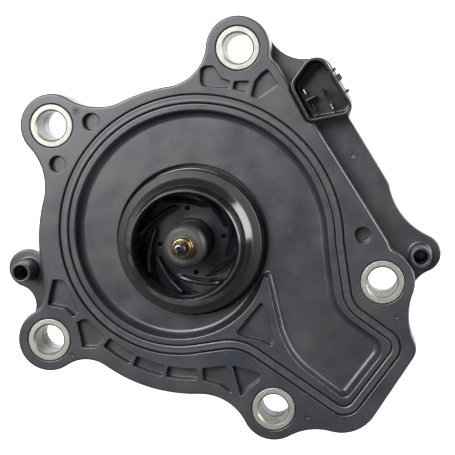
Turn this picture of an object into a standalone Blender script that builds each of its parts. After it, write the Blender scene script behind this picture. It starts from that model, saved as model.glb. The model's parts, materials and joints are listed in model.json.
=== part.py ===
"""Electric engine coolant pump with an open volute, as an assembly of separate parts.

Lengths are in millimetres and angles in degrees.  Heights are counted from the front
face of the flange, up towards the impeller nose, and LIFT carries them to the frame:
its origin is the middle of the rear rest face, on the shaft axis, and +Z runs along the
shaft.  The pump lies on its back, as on a bench.  Every object keeps its origin on the
shaft axis, which is also the axis that the impeller and rotor turn about.
"""
import math

import bmesh
import bpy
from mathutils import Vector, geometry

MM = 0.001
GAP = 0.3                       # clearance between neighbouring parts
SAGITTA = 0.12                  # how far the sides of an arc may lie inside it
LIFT = 60.0                     # height of the flange face over the rest face

# Levels, from the flange face
RIDGE_TOP = -0.5
VOLUTE_FLOOR = -4.0
GROOVE_FLOOR = -4.2
POCKET_FLOOR = -3.2
SCREW_HOLE_END = -5.7
FLANGE_BACK = -10.0
PLATE_BACK = -14.0
CONNECTOR_FLOOR = -10.5
TERMINAL_TIP = -1.8
CASE_FLANGE_BACK = -18.0
CASE_BACK = -44.0
COVER_FRONT = -45.5
COVER_EAR_BACK = -50.0
BAY_FLOOR = -55.0
FIN_ROOT = -56.6
CONNECTOR_RIM = 2.0

# Bolts: five steel sleeves, each in a round lobe
BOLTS = [(-44.8, 36.5), (14.9, 60.9), (60.7, -12.3), (26.5, -53.6), (-46.3, -32.6)]
SLEEVE_RADIUS = 6.85
SLEEVE_BORE = 4.7
LOBE = 10.2
BODY = 49.5                     # radius of the flange round the volute
LEFT_LUG = (-55.8, -10.7)
RIGHT_LUG = (73.1, -4.2)
LEFT_BOSS = (-55.2, -10.8)
RIGHT_BOSS = (72.6, -4.3)
BOSS_RADIUS = 3.3
BOSS_HOLE = 2.3
BOSS_FLOOR = -11.5
TERMINALS = [(35.9, 47.2), (41.5, 47.3), (38.8, 42.4), (44.4, 42.7)]
TERMINAL_TURN = -58
RIBS = [(44.8, 54.8), (49.0, 48.2)]

# Volute: the radius grows with the turn from its lowest point, clockwise
SPIRAL = (31.1, 7.1, -1.0)
RIDGE_WIDTH = 2.3
GROOVE_HALF = 1.5
GASKET_HALF = 1.2
CAVITY = 24.2                   # round opening that the impeller sits in

# Rotor can and stator
CAN_RADIUS = 18.4
CAN_BORE = 17.4
CAN_FLANGE = 32.0
DRUM_RADIUS = 42.0
DRUM_BORE = 39.6
STATOR_TEETH = 9
COVER_SCREWS = 6
COVER_SCREW_CIRCLE = 45.5
EAR_RADIUS = 3.8
SCREW_HOLE = 2.3
FIN_PITCH = 7.0
SLOT_HALF = 2.3
PAD_RADIUS = 14.5
BOARD_RADIUS = 38.2
BOARD_POST_CIRCLE = 33.0
TRANSISTOR_CIRCLE = 24.0
CAPACITOR_CIRCLE = 22.0
HOUSING_SCREWS = [(-34.3, 38.6), (-35.9, -30.6), (38.5, -53.3), (63.6, -24.0), (24.5, 47.5)]

# Impeller
SHAFT_RADIUS = 2.0
POST_RADIUS = 6.9
BACKPLATE_RADIUS = 23.2
BACKPLATE_TOP = -3.0
BLADES = 8
BLADE_INNER = 12.0
BLADE_OUTER = 22.6
BLADE_WRAP = 100.0              # degrees that a blade turns from its inner to its outer end
BLADE_START = -22.0
BLADE_HALF = 0.65
BALANCE_CIRCLE = 10.4
BALANCE_HOLE = 0.8
SHROUD_OUTSIDE = [(22.9, 1.5), (22.9, 4.0), (20.4, 4.7), (18.0, 7.0), (17.7, 10.0), (17.4, 14.2),
                  (16.9, 14.8)]
SHROUD_INSIDE = [(16.6, 14.8), (16.0, 13.8), (16.0, 9.0), (16.2, 6.4), (16.9, 4.4), (18.5, 2.9)]

BLACK_PLASTIC = ((0.030, 0.032, 0.038), 0.45, 0.0)
GLOSSY_PLASTIC = ((0.022, 0.019, 0.018), 0.25, 0.0)
ALUMINIUM = ((0.62, 0.62, 0.63), 0.42, 1.0)
ZINC = ((0.72, 0.71, 0.64), 0.32, 1.0)
STEEL = ((0.55, 0.55, 0.56), 0.30, 1.0)
BRASS = ((0.72, 0.52, 0.25), 0.28, 1.0)
COPPER = ((0.60, 0.26, 0.10), 0.35, 1.0)
RUBBER = ((0.020, 0.020, 0.022), 0.70, 0.0)
CARBON = ((0.30, 0.29, 0.27), 0.55, 0.0)
MAGNET = ((0.05, 0.05, 0.055), 0.50, 0.0)
BOARD = ((0.02, 0.16, 0.07), 0.40, 0.0)


# ---------------------------------------------------------------- outlines

def heading(start, end):
    """Angle of the way from one point to another, in degrees."""
    return math.degrees(math.atan2(end[1] - start[1], end[0] - start[0]))


def polar(centre, radius, angle):
    turn = math.radians(angle)
    return (centre[0] + radius * math.cos(turn), centre[1] + radius * math.sin(turn))


def arc_step(radius):
    """Degrees between the points of an arc, so that its sides stay close to it."""
    return math.degrees(2 * math.acos(1 - SAGITTA / max(radius, 0.4)))


def arc(centre, radius, start, end):
    """Points from one angle to the other, clockwise when end is the smaller."""
    steps = max(1, math.ceil(abs(end - start) / arc_step(radius)))
    return [polar(centre, radius, start + (end - start) * step / steps) for step in range(steps + 1)]


def circle(centre, radius):
    return arc(centre, radius, 0, 360)[:-1]


def join_circles(this, after):
    """How an anticlockwise outline goes from one circle (x, y, radius, fillet) to the next."""
    distance = math.dist(this[:2], after[:2])
    way = heading(this, after)
    fillet = this[3]
    if not fillet:
        side = way - 90 + math.degrees(math.asin((this[2] - after[2]) / distance))
        return side, side, []
    reach = this[2] + fillet
    along = (reach ** 2 - (after[2] + fillet) ** 2 + distance ** 2) / (2 * distance)
    away = math.sqrt(reach ** 2 - along ** 2)
    centre = polar(polar(this, along, way), away, way - 90)
    leave = heading(this, centre)
    arrive = heading(after, centre)
    sweep = (leave - arrive) % 360
    return leave, arrive, arc(centre, fillet, leave + 180, leave + 180 - sweep)[1:-1]


def circle_chain(circles):
    """Anticlockwise outline round circles, joined by straights or by hollow fillets."""
    joins = [join_circles(this, after) for this, after in zip(circles, circles[1:] + circles[:1])]
    outline = []
    for index, (x, y, radius, _) in enumerate(circles):
        arrive = joins[index - 1][1]
        leave = joins[index][0]
        outline += arc((x, y), radius, arrive, arrive + (leave - arrive) % 360)
        outline += joins[index][2]
    return outline


def rounded_corner(before, corner, after):
    """Arc that rounds a corner (x, y, radius) between its neighbours."""
    way_in = heading(before, corner)
    turn = (heading(corner, after) - way_in + 180) % 360 - 180
    side = math.copysign(90, turn)
    start = polar(corner, -corner[2] * math.tan(math.radians(abs(turn) / 2)), way_in)
    centre = polar(start, corner[2], way_in + side)
    return arc(centre, corner[2], way_in - side, way_in - side + turn)


def rounded_path(corners):
    """Open path through corners, each but the ends rounded."""
    path = [corners[0][:2]]
    for before, corner, after in zip(corners, corners[1:], corners[2:]):
        path += rounded_corner(before, corner, after)
    return path + [corners[-1][:2]]


def rounded_polygon(corners):
    """Closed anticlockwise outline through rounded corners."""
    outline = []
    for index, corner in enumerate(corners):
        outline += rounded_corner(corners[index - 1], corner, corners[(index + 1) % len(corners)])
    return outline


def offset_outline(outline, distance):
    """The anticlockwise outline moved outwards, or inwards when distance is negative."""
    moved = []
    for index, point in enumerate(outline):
        before = Vector(point) - Vector(outline[index - 1])
        after = Vector(outline[(index + 1) % len(outline)]) - Vector(point)
        normal = (before.normalized() + after.normalized()).normalized()
        spread = distance / max(0.5, normal.dot(after.normalized()))
        moved.append((point[0] + normal.y * spread, point[1] - normal.x * spread))
    return moved


def spiral(offset, start, end):
    """Volute curve from one turn to another, clockwise from its lowest point."""
    steps = math.ceil((end - start) / arc_step(SPIRAL[0]))
    curve = []
    for step in range(steps + 1):
        turn = start + (end - start) * step / steps
        quarters = turn / 90
        radius = SPIRAL[0] + SPIRAL[1] * quarters + SPIRAL[2] * quarters ** 2 + offset
        curve.append(polar((0, 0), radius, -90 - turn))
    return curve


def flange_outline():
    first, second, third, fourth, fifth = [(x, y, LOBE) for x, y in BOLTS]
    body = (0, 0, BODY)
    return circle_chain([
        second + (14,), body + (18,), first + (18,), body + (8,), fifth + (11,), body + (16,),
        fourth + (18,), (48.0, -48.5, 12.5, 0), (65.8, -33.4, 5.7, 20), third + (3,),
        (56.8, -2.3, 6, 0), (22.6, 51.9, 6, 3)])


def plate_outline():
    """The middle plate: the flange's shape with two lugs, a side strip and a connector seat."""
    first, second, third, fourth, fifth = [(x, y, LOBE - 0.2) for x, y in BOLTS]
    body = (0, 0, BODY - 0.3)
    return circle_chain([
        second + (14,), body + (18,), first + (18,), body + (3,), LEFT_LUG + (6.3, 6.5), fifth + (11,),
        body + (16,), fourth + (18,), (48.0, -48.5, 12.2, 0), (65.8, -33.4, 5.4, 20), third + (9,),
        RIGHT_LUG + (6.1, 22), (56.9, 15.9, 6, 0), (48.7, 37.9, 1.5, 1.5), (45.5, 43.0, 5.2, 0),
        (39.3, 53.0, 5.3, 12)])


def connector_outline():
    return rounded_polygon([(37.1, 37.65, 2.4), (52.7, 40.7, 3.2), (39.56, 61.6, 4.6), (30.9, 49.3, 2.2)])


def volute_outline():
    """Edge of the volute and of its outlet channel, with the tongue between them."""
    curve = spiral(0, -60, 270)
    outlet = rounded_path([curve[-1] + (0,), (46.0, -21.5, 14), (62.3, -32.8, 4.5), (49.2, -50.2, 2.6),
                           (32.4, -37.9, 25), (28.3, -28.7, 30), (24.05, -11.4, 0)])
    return (curve + outlet[1:] + [(23.2, -11.3)])[::-1]


def groove_line():
    """Middle line of the gasket groove, which runs round the volute and its outlet."""
    curve = spiral(RIDGE_WIDTH + GROOVE_HALF, -4, 270)
    outlet = rounded_path([curve[-1] + (0,), (50.2, -20.0, 9.5), (67.1, -32.0, 4.8), (49.9, -55.4, 4.5),
                           (15.8, -32.3, 14.5), curve[0] + (0,)])
    return (curve + outlet[1:-1])[::-1]


def sector(inner, outer, start, end):
    """Anticlockwise piece of a ring about the shaft axis."""
    return arc((0, 0), outer, start, end) + arc((0, 0), inner, end, start)


def pocket_outlines():
    """Weight-saving pockets in the flange, with ribs left between them."""
    pockets = [circle((-42.9, 24.2), 2.65), circle((-31.9, 37.7), 2.75), circle((54.4, 2.5), 2.55)]
    pockets += [sector(41.2, 44.7, start, start + 13.1) for start in (230.2, 244.8, 259.4)]
    pockets += [rounded_polygon(corners) for corners in (
        [(2.8, 49.0, 2.0), (12.1, 48.4, 0.5), (12.5, 50.6, 0.5), (9.4, 51.5, 2.0), (7.2, 55.4, 1.2),
         (3.2, 55.2, 1.8)],
        [(13.3, 48.1, 0.5), (17.7, 47.2, 0.5), (18.6, 50.6, 0.5), (13.9, 50.5, 0.5)],
        [(19.0, 45.7, 0.5), (21.5, 45.3, 0.6), (27.6, 49.3, 0.8), (24.4, 54.4, 0.8), (22.3, 53.0, 0.8),
         (20.2, 50.4, 0.5)],
        [(-46.7, -21.3, 0.8), (-41.2, -22.3, 2.0), (-38.1, -25.0, 0.5), (-36.6, -23.4, 0.5),
         (-41.4, -13.1, 2.0), (-44.8, -13.0, 0.6)],
        [(-35.4, -35.0, 0.8), (-31.0, -35.0, 0.5), (-28.2, -31.4, 0.5), (-34.2, -25.2, 2.0),
         (-37.2, -26.8, 0.6)],
        [(3.8, -45.0, 0.5), (9.2, -46.3, 3.0), (13.4, -49.2, 0.5), (11.2, -39.9, 0.5), (3.6, -41.0, 0.5)],
        [(15.9, -50.0, 0.5), (18.6, -47.0, 1.0), (22.2, -44.2, 0.5), (21.9, -42.2, 0.5),
         (13.2, -39.8, 0.5)],
        [(22.4, -19.3, 0.6), (14.2, -29.6, 0.6), (18.6, -31.2, 0.5), (22.2, -31.8, 0.5), (25.6, -33.4, 0.5),
         (26.8, -31.4, 0.5), (25.1, -27.0, 2.0), (24.1, -21.5, 0.6)])]
    return pockets


# ---------------------------------------------------------------- solids

def place(x, y, z):
    """A point of the frame, in metres, from a place on the flange."""
    return Vector((x, y, z + LIFT)) * MM


def make_object(name, mesh, finish):
    """Turn closed geometry into a named object with its own material."""
    bmesh.ops.recalc_face_normals(mesh, faces=mesh.faces)
    data = bpy.data.meshes.new(name)
    mesh.to_mesh(data)
    mesh.free()
    data.shade_smooth()
    data.set_sharp_from_angle(angle=math.radians(30))
    colour, roughness, metallic = finish
    material = bpy.data.materials.new(name)
    material.use_nodes = True
    shader = material.node_tree.nodes["Principled BSDF"]
    shader.inputs["Base Color"].default_value = (*colour, 1)
    shader.inputs["Roughness"].default_value = roughness
    shader.inputs["Metallic"].default_value = metallic
    data.materials.append(material)
    thing = bpy.data.objects.new(name, data)
    bpy.context.scene.collection.objects.link(thing)
    return thing


def add_prism(mesh, outline, bottom, top, holes=()):
    """Add an upright solid with a flat top and bottom, and holes right through."""
    loops = [outline, *holes]
    flat = [Vector((x, y, 0)) for loop in loops for x, y in loop]
    low = [mesh.verts.new(place(point.x, point.y, bottom)) for point in flat]
    high = [mesh.verts.new(place(point.x, point.y, top)) for point in flat]
    for corners in geometry.tessellate_polygon([[Vector((x, y, 0)) for x, y in loop] for loop in loops]):
        mesh.faces.new([high[corner] for corner in corners])
        mesh.faces.new([low[corner] for corner in reversed(corners)])
    first = 0
    for loop in loops:
        for step in range(len(loop)):
            here = first + step
            there = first + (step + 1) % len(loop)
            mesh.faces.new((low[here], low[there], high[there], high[here]))
        first += len(loop)


def prism(outline, bottom, top, holes=()):
    mesh = bmesh.new()
    add_prism(mesh, outline, bottom, top, holes)
    return mesh


def add_lathe(mesh, profile, segments, centre=(0, 0)):
    """Add a solid turned about an upright axis from a closed outline of (radius, height)."""
    rings = []
    for radius, height in profile:
        if radius == 0:
            rings.append([mesh.verts.new(place(*centre, height))] * segments)
            continue
        rings.append([mesh.verts.new(place(*polar(centre, radius, 360 * step / segments), height))
                      for step in range(segments)])
    for lower, upper in zip(rings, rings[1:] + rings[:1]):
        for step in range(segments):
            after = (step + 1) % segments
            corners = list(dict.fromkeys((lower[step], lower[after], upper[after], upper[step])))
            if len(corners) > 2:
                mesh.faces.new(corners)


def lathe(profile, segments=36, centre=(0, 0)):
    mesh = bmesh.new()
    add_lathe(mesh, profile, segments, centre)
    return mesh


def tube(inner, outer, bottom, top):
    """Closed outline of a plain ring, for the lathe."""
    return [(inner, bottom), (outer, bottom), (outer, top), (inner, top)]


def combine(target, operation, mesh, name):
    """Cut a solid out of the target, or join it on."""
    cutter = make_object(f"{target.name}.{name}", mesh, STEEL)
    cutter.hide_render = True
    cutter.display_type = "WIRE"
    modifier = target.modifiers.new(name, "BOOLEAN")
    modifier.operation = operation
    modifier.solver = "EXACT"
    modifier.object = cutter


def cut(target, mesh, name):
    combine(target, "DIFFERENCE", mesh, name)


def join(target, mesh, name):
    combine(target, "UNION", mesh, name)


# ---------------------------------------------------------------- housing

def front_housing():
    """Moulded flange with the open volute, its outlet channel and the gasket groove."""
    flange = make_object("front_housing", prism(flange_outline(), FLANGE_BACK, 0), BLACK_PLASTIC)
    line = groove_line()
    cut(flange, prism(line, RIDGE_TOP, 1), "ridge_level")
    groove = prism(offset_outline(line, GROOVE_HALF), GROOVE_FLOOR, 2, [offset_outline(line, -GROOVE_HALF)])
    cut(flange, groove, "gasket_groove")
    cut(flange, prism(volute_outline(), VOLUTE_FLOOR, 2), "volute")
    pockets = bmesh.new()
    for outline in pocket_outlines():
        add_prism(pockets, outline, POCKET_FLOOR, 2)
    cut(flange, pockets, "pockets")
    holes = bmesh.new()
    for bolt in BOLTS:
        add_prism(holes, circle(bolt, SLEEVE_RADIUS + GAP), FLANGE_BACK - 1, 2)
    add_prism(holes, offset_outline(connector_outline(), GAP + 0.1), FLANGE_BACK - 1, 2)
    for screw in HOUSING_SCREWS:
        add_prism(holes, circle(screw, SCREW_HOLE), FLANGE_BACK - 1, SCREW_HOLE_END)
    cut(flange, holes, "holes")
    seat = CAN_FLANGE + 0.4
    middle = lathe([(0, -11), (seat, -11), (seat, -8), (30.6, -8), (30.6, -5.9), (28, -5.9), (28, -8),
                    (CAVITY, -8), (CAVITY, 1), (0, 1)], 48)
    cut(flange, middle, "impeller_cavity")


def bolt_sleeves():
    """Steel compression sleeves, each with chamfered bore edges."""
    for number, bolt in enumerate(BOLTS, 1):
        profile = [(SLEEVE_BORE, FLANGE_BACK), (SLEEVE_RADIUS, FLANGE_BACK), (SLEEVE_RADIUS, 0),
                   (SLEEVE_BORE + 0.5, 0), (SLEEVE_BORE, -0.5)]
        make_object(f"bolt_sleeve_{number}", lathe(profile, 24, bolt), ZINC)


def mounting_gasket():
    """Rubber profile gasket in its groove."""
    line = groove_line()
    inside = offset_outline(line, -GASKET_HALF)
    band = prism(offset_outline(line, GASKET_HALF), GROOVE_FLOOR + GAP, -0.9, [inside])
    make_object("mounting_gasket", band, RUBBER)


def connector_ribs():
    """Two guide ribs on the outside of the connector, as outlines."""
    return [rounded_polygon([(x - 1.6, y - 1.6, 0.3), (x - 1.1, y - 2.3, 0.3), (x + 1.0, y - 0.6, 0.3),
                             (x + 0.5, y + 0.3, 0.3)]) for x, y in RIBS]


def connector_housing():
    """Middle plate with the connector shroud and two lugs with tubular screw bosses."""
    body = prism(plate_outline(), PLATE_BACK, FLANGE_BACK - GAP)
    plate = make_object("connector_housing", body, BLACK_PLASTIC)
    shroud = prism(connector_outline(), PLATE_BACK + 1, CONNECTOR_RIM)
    join(plate, shroud, "shroud")
    ribs = bmesh.new()
    for outline in connector_ribs():
        add_prism(ribs, outline, PLATE_BACK + 1.5, CONNECTOR_RIM - 0.5)
    join(plate, ribs, "guide_ribs")
    bosses = bmesh.new()
    add_prism(bosses, circle(LEFT_BOSS, BOSS_RADIUS), -13, 1)
    add_prism(bosses, circle(RIGHT_BOSS, BOSS_RADIUS), -13, 0)
    join(plate, bosses, "screw_bosses")
    holes = bmesh.new()
    add_prism(holes, offset_outline(connector_outline(), -1.5), CONNECTOR_FLOOR, CONNECTOR_RIM + 2)
    for boss in (LEFT_BOSS, RIGHT_BOSS):
        add_prism(holes, circle(boss, BOSS_HOLE), BOSS_FLOOR, 3)
    for bolt in BOLTS:
        add_prism(holes, circle(bolt, SLEEVE_RADIUS), PLATE_BACK - 1, -8)
    for screw in HOUSING_SCREWS:
        add_prism(holes, circle(screw, SCREW_HOLE), PLATE_BACK - 1, -9)
    add_prism(holes, circle((0, 0), CAN_RADIUS + 0.8), PLATE_BACK - 1, -9)
    cut(plate, holes, "holes")
    slots = bmesh.new()
    for outline in terminal_outlines(GAP):
        add_prism(slots, outline, PLATE_BACK - 1, -9)
    cut(plate, slots, "terminal_slots")


def terminal_outlines(margin):
    """Flat blades of the four-way connector, two by two, along its slanted side."""
    outlines = []
    for x, y in TERMINALS:
        corners = []
        for along, across in ((-1.1, -0.4), (1.1, -0.4), (1.1, 0.4), (-1.1, 0.4)):
            step = polar((x, y), along + math.copysign(margin, along), TERMINAL_TURN)
            corners.append(polar(step, across + math.copysign(margin, across), TERMINAL_TURN + 90))
        outlines.append(corners)
    return outlines


def terminals():
    for number, outline in enumerate(terminal_outlines(0), 1):
        finish = BRASS if number in (2, 3) else STEEL
        make_object(f"terminal_{number}", prism(outline, PLATE_BACK + 0.2, TERMINAL_TIP), finish)


def motor_case():
    """Cast aluminium case: a flange behind the middle plate and a drum for the stator."""
    outline = offset_outline(flange_outline(), -0.8)
    case = make_object("motor_case", prism(outline, CASE_FLANGE_BACK, PLATE_BACK - GAP), ALUMINIUM)
    ears = bmesh.new()
    for ear in cover_ears():
        add_prism(ears, circle(ear, EAR_RADIUS), CASE_BACK + 0.5, -36)
    join(case, prism(circle((0, 0), DRUM_RADIUS), CASE_BACK, -17), "drum")
    join(case, ears, "cover_ears")
    spigots = bmesh.new()
    for bolt in BOLTS:
        add_prism(spigots, circle(bolt, SLEEVE_RADIUS - GAP), -17, FLANGE_BACK - GAP)
    join(case, spigots, "bolt_spigots")
    holes = bmesh.new()
    for bolt in BOLTS:
        add_prism(holes, circle(bolt, SLEEVE_BORE), -20, -8)
    for screw in HOUSING_SCREWS:
        add_prism(holes, circle(screw, SCREW_HOLE), -20, -8)
    for ear in cover_ears():
        add_prism(holes, circle(ear, SCREW_HOLE), CASE_BACK - 1, -38)
    add_prism(holes, circle((0, 0), DRUM_BORE), -41.5, -8)
    cut(case, holes, "bores")


def rear_cover():
    """Heat-sink cover of the electronics bay, with straight fins and a flat middle pad."""
    base = -LIFT
    cover = make_object("rear_cover", prism(circle((0, 0), DRUM_RADIUS), base, COVER_FRONT), ALUMINIUM)
    ears = bmesh.new()
    holes = bmesh.new()
    for ear in cover_ears():
        add_prism(ears, circle(ear, EAR_RADIUS), COVER_EAR_BACK, COVER_FRONT - 0.5)
        add_prism(holes, circle(ear, SCREW_HOLE), COVER_EAR_BACK - 1, COVER_FRONT + 1)
    join(cover, ears, "screw_ears")
    cut(cover, holes, "screw_holes")
    bay = prism(circle((0, 0), DRUM_BORE - 0.5), BAY_FLOOR, COVER_FRONT + 1,
                [circle(post, 3) for post in board_posts()])
    cut(cover, bay, "electronics_bay")
    posts = bmesh.new()
    for post in board_posts():
        add_prism(posts, circle(post, 3.6), -49, COVER_FRONT + 2)
    cut(cover, posts, "post_tops")
    slots = bmesh.new()
    for column in range(-6, 6):
        x = FIN_PITCH * (column + 0.5)
        edge = math.sqrt(max(0, PAD_RADIUS ** 2 - x ** 2))
        for side in (-1, 1):
            if not edge and side < 0:
                continue
            near = side * edge if edge else -60
            far = side * 60
            box = [(x - SLOT_HALF, min(near, far)), (x + SLOT_HALF, min(near, far)),
                   (x + SLOT_HALF, max(near, far)), (x - SLOT_HALF, max(near, far))]
            add_prism(slots, box, base - 1, FIN_ROOT)
    cut(cover, slots, "fin_slots")


def board_posts():
    return [polar((0, 0), BOARD_POST_CIRCLE, 90 + 120 * number) for number in range(3)]


def cover_ears():
    return [polar((0, 0), COVER_SCREW_CIRCLE, 30 + 360 / COVER_SCREWS * number)
            for number in range(COVER_SCREWS)]


def screws():
    """Cover screws and housing screws, all with their heads to the rear."""
    for number, centre in enumerate(cover_ears(), 1):
        profile = screw_profile(COVER_EAR_BACK - GAP, -40)
        make_object(f"cover_screw_{number}", lathe(profile, 12, centre), ZINC)
    for number, centre in enumerate(HOUSING_SCREWS, 1):
        profile = screw_profile(CASE_FLANGE_BACK - GAP, -6.2)
        make_object(f"housing_screw_{number}", lathe(profile, 12, centre), ZINC)


def screw_profile(seat, tip):
    """Flange-head screw, from the underside of its head to its tip."""
    return [(0, seat - 2.8), (2.9, seat - 2.8), (3.3, seat - 0.9), (3.3, seat), (2, seat), (2, tip - 0.6),
            (1.4, tip), (0, tip)]


def seals():
    can_ring = [(29.3 + 1.0 * math.cos(math.radians(turn)), -7.1 + 0.95 * math.sin(math.radians(turn)))
                for turn in range(0, 360, 45)]
    make_object("can_seal", lathe(can_ring), RUBBER)
    cover_ring = tube(DRUM_BORE, DRUM_RADIUS - 0.6, COVER_FRONT + GAP, CASE_BACK - GAP)
    make_object("cover_seal", lathe(cover_ring), RUBBER)


# ---------------------------------------------------------------- motor

def rotor_can():
    """Thin cup that keeps coolant in the rotor space and holds the foot of the shaft."""
    profile = [(SHAFT_RADIUS + GAP, -39.2), (SHAFT_RADIUS + GAP, -36.6), (6, -36.6), (7, -39.2),
               (CAN_BORE, -39.2), (CAN_BORE, -9.4), (CAN_BORE + 1.1, -8.3), (CAN_FLANGE, -8.3),
               (CAN_FLANGE, -9.7), (CAN_RADIUS, -9.7), (CAN_RADIUS, -40.6), (0, -40.6), (0, -39.2)]
    make_object("rotor_can", lathe(profile), BLACK_PLASTIC)


def stator():
    """Laminated core with nine teeth, a coil on each and an insulating ring at each end."""
    slots = []
    pitch = 360 / STATOR_TEETH
    tooth_side = [(19.4, 0.0), (19.4, 17.6), (21.5, 17.6), (23.0, 9.0), (34.4, 6.0)]
    for number in range(STATOR_TEETH):
        slots += [polar((0, 0), radius, pitch * number + half) for radius, half in tooth_side]
        slots += [polar((0, 0), radius, pitch * (number + 1) - half) for radius, half in tooth_side[:0:-1]]
    make_object("stator_core", prism(circle((0, 0), DRUM_BORE - 0.6), -36, -20, [slots]), STEEL)
    for number in range(STATOR_TEETH):
        make_object(f"stator_coil_{number + 1}", coil(pitch * number), COPPER)
    for name, bottom in (("front_insulator", -19.4), ("rear_insulator", -38.2)):
        make_object(name, lathe(tube(34.6, 38.8, bottom, bottom + 1.6)), BLACK_PLASTIC)


def coil(angle):
    """A flat rectangular winding round the tooth that points along an angle."""
    mesh = bmesh.new()
    corners = []
    for half_width, half_height in ((3.9, 8.8), (6.4, 11.2)):
        corners.append([(-half_width, -half_height), (half_width, -half_height),
                        (half_width, half_height), (-half_width, half_height)])
    rings = {}
    for radius in (24.5, 32.0):
        for index, outline in enumerate(corners):
            rings[radius, index] = []
            for across, up in outline:
                point = polar(polar((0, 0), radius, angle), across, angle + 90)
                rings[radius, index].append(mesh.verts.new(place(*point, up - 28)))
    for this, after in (((24.5, 0), (24.5, 1)), ((24.5, 1), (32.0, 1)), ((32.0, 1), (32.0, 0)),
                        ((32.0, 0), (24.5, 0))):
        for step in range(4):
            following = (step + 1) % 4
            mesh.faces.new((rings[this][step], rings[this][following], rings[after][following],
                            rings[after][step]))
    return mesh


def electronics():
    """Controller board with its power transistors and storage capacitors."""
    make_object("controller_board", prism(circle((0, 0), BOARD_RADIUS), -48.6, -47.0), BOARD)
    for number in range(6):
        x, y = polar((0, 0), TRANSISTOR_CIRCLE, 60 * number)
        outline = [(x - 3.2, y - 4.5), (x + 3.2, y - 4.5), (x + 3.2, y + 4.5), (x - 3.2, y + 4.5)]
        make_object(f"power_transistor_{number + 1}", prism(outline, -46.7, -44.6), MAGNET)
    for number in range(3):
        profile = [(0, -54.7), (4, -54.7), (4, -48.9), (0, -48.9)]
        centre = polar((0, 0), CAPACITOR_CIRCLE, 30 + 120 * number)
        make_object(f"capacitor_{number + 1}", lathe(profile, 16, centre), ALUMINIUM)


def shaft_parts():
    """The fixed shaft, with the washer and brass nut that keep the rotor on it."""
    make_object("shaft", lathe([(0, -39.0), (SHAFT_RADIUS, -39.0), (SHAFT_RADIUS, 25.9),
                                (SHAFT_RADIUS - 0.6, 26.5), (0, 26.5)], 24), STEEL)
    make_object("thrust_washer", lathe(tube(SHAFT_RADIUS + GAP, 3.6, 16.7, 17.7), 24), CARBON)
    make_object("shaft_nut", lathe([(SHAFT_RADIUS + GAP, 18.0), (3.2, 18.0), (3.2, 21.2), (2.7, 22.0),
                                    (SHAFT_RADIUS + GAP, 22.0)], 24), BRASS)


# ---------------------------------------------------------------- rotor and impeller

def shroud_inside_height(radius):
    """Height of the inner face of the shroud over the blade channels."""
    points = sorted([point for point in SHROUD_INSIDE if point[1] < 7] + [SHROUD_OUTSIDE[0]])
    for (near, high), (far, low) in zip(points, points[1:]):
        if near <= radius <= far:
            return high + (low - high) * (radius - near) / (far - near)
    return points[0][1] if radius < points[0][0] else points[-1][1]


def blade(mesh, number):
    """One backward-curved blade, which leaves the eye along its edge, under the shroud."""
    sections = []
    stations = 12
    growth = BLADE_OUTER - BLADE_INNER
    for station in range(stations + 1):
        share = station / stations
        radius = BLADE_INNER + growth * share ** 2
        angle = BLADE_START + 360 / BLADES * number + BLADE_WRAP * share
        lead = min(1.0, (radius - BLADE_INNER) / 3.4)
        top = min(shroud_inside_height(radius + BLADE_HALF) - 2 * GAP, 1.0 + 4.5 * lead)
        slope = math.degrees(math.atan2(radius * math.radians(BLADE_WRAP), 2 * growth * share))
        half = BLADE_HALF * (0.6 if station in (0, stations) else 1)
        ring = []
        for side, height in ((-1, BACKPLATE_TOP - 1), (1, BACKPLATE_TOP - 1), (1, top), (-1, top)):
            point = polar(polar((0, 0), radius, angle), half * side, angle + slope - 90)
            ring.append(mesh.verts.new(place(*point, height)))
        sections.append(ring)
    mesh.faces.new(sections[0])
    mesh.faces.new(sections[-1])
    for this, after in zip(sections, sections[1:]):
        for step in range(4):
            following = (step + 1) % 4
            mesh.faces.new((this[step], this[following], after[following], after[step]))


def impeller_base():
    """Back plate of the impeller with its eight blades and four balance holes."""
    inner = POST_RADIUS + GAP
    profile = [(inner, -7.6), (11.0, -7.6), (11.6, -5.2), (BACKPLATE_RADIUS, -4.8),
               (BACKPLATE_RADIUS, BACKPLATE_TOP), (inner, BACKPLATE_TOP)]
    base = make_object("impeller_base", lathe(profile), BLACK_PLASTIC)
    blades = bmesh.new()
    for number in range(BLADES):
        blade(blades, number)
    join(base, blades, "blades")
    holes = bmesh.new()
    for number in range(4):
        centre = polar((0, 0), BALANCE_CIRCLE, 7.8 + 90 * number)
        add_prism(holes, circle(centre, BALANCE_HOLE), -9, -2)
    cut(base, holes, "balance_holes")


def rotor():
    """Everything that turns about the fixed shaft, apart from the impeller base."""
    make_object("impeller_shroud", lathe(SHROUD_OUTSIDE + SHROUD_INSIDE), GLOSSY_PLASTIC)
    post = [(4.6, -35.8), (POST_RADIUS, -35.8), (POST_RADIUS, 14.2), (6.5, 15.4), (5.6, 16.2), (4.6, 16.4),
            (SHAFT_RADIUS + 0.4, 16.4), (SHAFT_RADIUS + 0.4, 14.5), (4.6, 14.5)]
    make_object("rotor_sleeve", lathe(post, 32), CARBON)
    inner = POST_RADIUS + GAP
    make_object("rotor_core", lathe(tube(inner, 12.2, -34.5, -8.2), 32), STEEL)
    make_object("rotor_magnet", lathe(tube(12.5, 16.4, -34.5, -8.2)), MAGNET)
    for name, bottom, top in (("front_bush", 5.0, 14.2), ("rear_bush", -35.5, -26.0)):
        make_object(name, lathe(tube(SHAFT_RADIUS + GAP, 4.3, bottom, top), 24), CARBON)


def main():
    for thing in list(bpy.data.objects):
        bpy.data.objects.remove(thing, do_unlink=True)
    front_housing()
    bolt_sleeves()
    mounting_gasket()
    connector_housing()
    terminals()
    motor_case()
    rear_cover()
    screws()
    seals()
    rotor_can()
    stator()
    electronics()
    shaft_parts()
    impeller_base()
    rotor()


main()
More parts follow.
